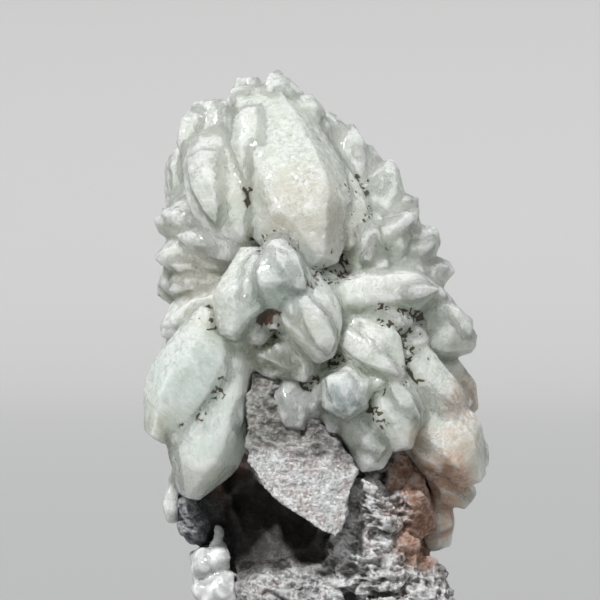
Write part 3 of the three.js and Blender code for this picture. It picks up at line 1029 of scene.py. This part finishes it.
def makeCrownMaterial(grain, cloud, facets, steps):
    material, tree, surface = newMaterial("milkyQuartz")
    look = crownLook
    where = millimetres(tree)
    tint = attributeNode(tree, "tint")
    spread = addNode(tree, "CombineXYZ", {"X": tint, "Y": tint, "Z": tint}).outputs["Vector"]
    apart = vectorNode(tree, "SCALE", {0: spread, "Scale": look["patternShift"]})
    own = vectorNode(tree, "ADD", {0: where, 1: apart})
    colour = useGroup(tree, cloud, own, look["clouds"])["Colour"]
    for name, (zoneColour, most) in look["zones"].items():
        amount = times(tree, attributeNode(tree, name), most)
        colour = colourMix(tree, amount, colour, zoneColour)
    value = between(tree, tint, 0.88, 1.06)
    colour = addNode(tree, "HueSaturation", {"Color": colour, "Value": value}).outputs["Color"]

    # paler: frost, partly real and partly a painted highlight on what faces up; painted highlights
    # on growth-step edges and convex edges; painted glints as flecks; and the veins
    frostAndTopLightMask = attributeNode(tree, "frostAndHighlight")
    sugar = rangeNode(tree, noiseNode(tree, own, 1.3, 8, 0.8), 0.47, 0.56)
    frostyAndLit = times(tree, frostAndTopLightMask, sugar)
    apartXYZ = addNode(tree, "SeparateXYZ", {0: own}).outputs
    across = addNode(tree, "CombineXYZ", {
        "X": times(tree, apartXYZ["X"], 0.35),
        "Y": times(tree, apartXYZ["Y"], 0.35),
        "Z": times(tree, attributeNode(tree, "along"), 1.5),
    })
    striae = noiseNode(tree, across.outputs["Vector"], 1, 6, 0.68, 0.4)
    veins = mathNode(tree, "ABSOLUTE", mathNode(tree, "SUBTRACT", striae, 0.52))
    veins = rangeNode(tree, veins, 0.03, 0.004)
    growth = useGroup(tree, steps, own, look["steps"])
    # painted highlight along the growth-step edges, over the frost
    pale = larger(tree, times(tree, frostyAndLit, 0.8), times(tree, growth["Edge"], 0.5))
    # painted highlight on the convex edges, partly their frosting
    pale = larger(tree, pale, times(tree, attributeNode(tree, "ridge"), 0.6))
    # painted glints: white flecks, most of them in the frost
    flecks = useGroup(tree, grain, own, look["flecks"])
    fleckShare = rangeNode(tree, frostAndTopLightMask, 0.2, 0.9, 0.1, 0.75)
    pale = larger(tree, pale, times(tree, flecks["Sparkle"], fleckShare))
    pale = larger(tree, pale, times(tree, veins, 0.45))
    colour = colourMix(tree, pale, colour, look["frostAndHighlight"])

    # painted shade darkens the creases; dirt in their grooves and the rock that shows between
    # crystals are darker too
    deep = times(tree, attributeNode(tree, "crease"), 0.18)
    colour = colourMix(tree, deep, colour, look["crease"])
    dirty = times(tree, noiseNode(tree, where, 1.6, 5, 0.7), 0.9)
    dirty = mathNode(tree, "ADD", dirty, attributeNode(tree, "dirt"))
    colour = colourMix(tree, rangeNode(tree, dirty, 0.78, 1.0), colour, look["dirt"])
    colour = colourMix(tree, attributeNode(tree, "bareRock"), colour, look["rock"])

    grains = useGroup(tree, grain, own, look["grains"])
    grainy = times(tree, grains["Height"], between(tree, frostAndTopLightMask, 0.15, 1.0))
    planes = useGroup(tree, facets, own, look["planes"])
    sugary = useGroup(tree, facets, own, look["facets"])
    sugary = times(tree, sugary["Height"], frostAndTopLightMask)
    normal = bumpNode(tree, growth["Height"], look["stepBump"], 1.0)
    normal = bumpNode(tree, striae, look["striaBump"], 0.8, normal)
    normal = bumpNode(tree, planes["Height"], look["planeBump"], 1.0, normal)
    normal = bumpNode(tree, grainy, look["grainBump"], 0.7, normal)
    normal = bumpNode(tree, sugary, look["facetBump"], 1.0, normal)
    roughness = between(tree, frostyAndLit, 0.13, 0.09)
    coverWith(surface, colour, roughness, normal, look)
    return material


stalkLook = {
    "clouds": {
        "Clouds per mm": 0.35,
        "Colour": (0.075, 0.058, 0.048),
        "Cloud colour": (0.17, 0.16, 0.155),
    },
    # pale dust, also painted light on the faces turned to the key light
    "dustAndLight": (0.70, 0.715, 0.70),
    "blush": (0.56, 0.50, 0.48),
    "pale": (0.80, 0.785, 0.78),
    "white": (0.97, 0.97, 0.97),
    "pink": (0.44, 0.28, 0.23),
    "rust": (0.45, 0.22, 0.13),
    "steel": (0.13, 0.135, 0.155),
    "moss": (0.17, 0.165, 0.125),
    # painted shade for the creases and the cave
    "dark": (0.016, 0.013, 0.011),
    "grains": {"Grains per mm": 2.6, "Grit": 0.9},
    "facets": {"Faces per mm": 1.5},
    "grainBump": 0.00022,    # metres, as the bumps below
    "coarseBump": 0.0007,
    "facetBump": 0.0007,
    "surface": {"IOR": 1.5},
}


def makeStalkMaterial(grain, cloud, facets):
    material, tree, surface = newMaterial("darkRock")
    look = stalkLook
    where = millimetres(tree)
    names = (*stalkPlaces, "crease", "ridge", "upwards")
    masks = {name: attributeNode(tree, name) for name in names}
    clouds = useGroup(tree, cloud, where, look["clouds"])
    grains = useGroup(tree, grain, where, look["grains"])
    colour = colourMix(tree, times(tree, masks["rust"], 0.95), clouds["Colour"], look["rust"])
    colour = colourMix(tree, masks["steel"], colour, look["steel"])
    colour = colourMix(tree, masks["moss"], colour, look["moss"])
    speckle = rangeNode(tree, noiseNode(tree, where, 1.3, 6, 0.75), 0.4, 0.6)
    patches = rangeNode(tree, noiseNode(tree, where, 0.33, 4, 0.6), 0.42, 0.6)
    paleShare = times(tree, masks["pale"], between(tree, speckle, 0.7, 1.0))
    colour = colourMix(tree, paleShare, colour, look["pale"])
    pinkShare = times(tree, times(tree, masks["pale"], patches), 0.5)
    colour = colourMix(tree, pinkShare, colour, look["pink"])

    # pale dust, partly real and partly painted light on the faces turned up towards the key light;
    # white crests as painted highlights and white grains as painted glints, mostly on the open
    # rock
    openRock = larger(tree, masks["pale"], masks["ridged"])
    dustAndLightShare = times(tree, masks["upwards"], between(tree, openRock, 0.28, 0.95))
    dustAndLightShare = times(tree, dustAndLightShare, between(tree, speckle, 0.6, 1.0))
    dustAndLightShare = times(tree, dustAndLightShare, between(tree, masks["rust"], 1, 0.3))
    dustAndLightShare = larger(tree, dustAndLightShare, times(tree, masks["ridged"], 0.6))
    dustAndLight = colourMix(tree, patches, look["dustAndLight"], look["blush"])
    colour = colourMix(tree, dustAndLightShare, colour, dustAndLight)
    # painted highlight on the crests
    crest = times(tree, masks["ridge"], between(tree, openRock, 0.25, 0.8))
    colour = colourMix(tree, crest, colour, look["white"])
    # painted glints on the grains
    sparkle = times(tree, grains["Sparkle"], between(tree, openRock, 0.12, 0.85))
    colour = colourMix(tree, sparkle, colour, look["white"])
    # painted shade darkens the creases, a little less on the ridged rock
    creaseShade = times(tree, masks["crease"], between(tree, masks["ridged"], 0.88, 0.72))
    colour = colourMix(tree, creaseShade, colour, look["dark"])
    # painted shade over the cave
    colour = colourMix(tree, times(tree, masks["cave"], 0.85), colour, look["dark"])

    coarse = noiseNode(tree, millimetres(tree, (1, 1, 1.8)), 1.3, 8, 0.72)
    tilted = useGroup(tree, facets, where, look["facets"])
    normal = bumpNode(tree, coarse, look["coarseBump"], 0.9)
    normal = bumpNode(tree, grains["Height"], look["grainBump"], 0.9, normal)
    tilted = times(tree, tilted["Height"], openRock)
    normal = bumpNode(tree, tilted, look["facetBump"], 1.0, normal)
    roughness = between(tree, larger(tree, masks["steel"], openRock), 0.62, 0.34)
    coverWith(surface, colour, roughness, normal, look)
    return material


lobeLook = {
    "clouds": {
        "Clouds per mm": 0.35,
        "Colour": (0.40, 0.40, 0.40),
        "Cloud colour": (0.78, 0.78, 0.785),
    },
    # painted shade for the creases between the beads
    "dirt": (0.12, 0.09, 0.075),
    "grains": {"Grains per mm": 1.6, "Grit": 0.4},
    "bump": 0.00008,         # metres
    "surface": {
        "IOR": 1.54,
        "Subsurface Weight": 0.8,
        "Subsurface Radius": (1.0, 0.95, 0.95),
        "Subsurface Scale": 0.0022,
    },
}


def makeLobeMaterial(grain, cloud):
    material, tree, surface = newMaterial("glassyLobes")
    look = lobeLook
    where = millimetres(tree)
    clouds = useGroup(tree, cloud, where, look["clouds"])
    # painted shade darkens the creases between the beads
    creaseShade = times(tree, attributeNode(tree, "crease"), 0.75)
    colour = colourMix(tree, creaseShade, clouds["Colour"], look["dirt"])
    roughness = between(tree, clouds["Mask"], 0.06, 0.22)
    grains = useGroup(tree, grain, where, look["grains"])
    normal = bumpNode(tree, grains["Height"], look["bump"], 0.3)
    coverWith(surface, colour, roughness, normal, look)
    return material


# Floor and light

studio = {
    "floorColour": (0.38, 0.38, 0.375),
    "floorRadius": 1.8,
    "floorRoughness": 0.9,
    "wallHeight": 0.9,
    "cove": 0.5,             # metres, radius between the floor and the wall
    "sky": (0.9, 0.95, 1.0),
    "skyStrength": 0.33,
    "keyStrength": 3.85,
    "keyFrom": (-0.3, -0.58, 0.75),
    "keySoftness": 4,        # degrees
    "fillStrength": 1.0,
    "fillFrom": (0.8, -0.45, 0.4),
    "fillSoftness": 40,
}


def addFloor():
    bm = bmesh.new()
    bmesh.ops.create_circle(bm, cap_ends=True, radius=studio["floorRadius"], segments=96)
    rim = list(bm.edges)
    wall = bmesh.ops.extrude_edge_only(bm, edges=rim)["geom"]
    top = [v for v in wall if isinstance(v, bmesh.types.BMVert)]
    bmesh.ops.translate(bm, vec=(0, 0, studio["wallHeight"]), verts=top)
    bmesh.ops.bevel(bm, geom=rim, offset=studio["cove"], offset_type="OFFSET", segments=12,
                    profile=0.5, affect="EDGES", material=-1)
    bmesh.ops.recalc_face_normals(bm, faces=bm.faces)
    mesh = meshOf(bm, "floor")
    bm.free()
    mesh.shade_smooth()
    floor = placed("floor", mesh)
    material, _, surface = newMaterial("paleFloor")
    colour, roughness = studio["floorColour"], studio["floorRoughness"]
    setSockets(surface, {"Base Color": colour, "Roughness": roughness})
    mesh.materials.append(material)


def addLight(name):
    lamp = placed(name, bpy.data.lights.new(name, "SUN"))
    lamp.data.energy = studio[name + "Strength"]
    lamp.data.angle = math.radians(studio[name + "Softness"])
    lamp.rotation_euler = Vector(studio[name + "From"]).to_track_quat("Z", "Y").to_euler()


def addStudio():
    addFloor()
    addLight("key")
    addLight("fill")
    world = bpy.data.worlds.new("sky")
    bpy.context.scene.world = world
    world.use_nodes = True
    sky = world.node_tree.nodes["Background"]
    setSockets(sky, {"Color": studio["sky"], "Strength": studio["skyStrength"]})
    bpy.context.scene.view_settings.view_transform = "Standard"


addCamera()
addStudio()
grainGroup = makeGrainGroup()
cloudGroup = makeCloudGroup()
facetGroup = makeFacetGroup()
buildCrown(makeCrownMaterial(grainGroup, cloudGroup, facetGroup, makeStepGroup()))
buildStalk(makeStalkMaterial(grainGroup, cloudGroup, facetGroup))
buildLobes(makeLobeMaterial(grainGroup, cloudGroup))
print("the pieces are made")
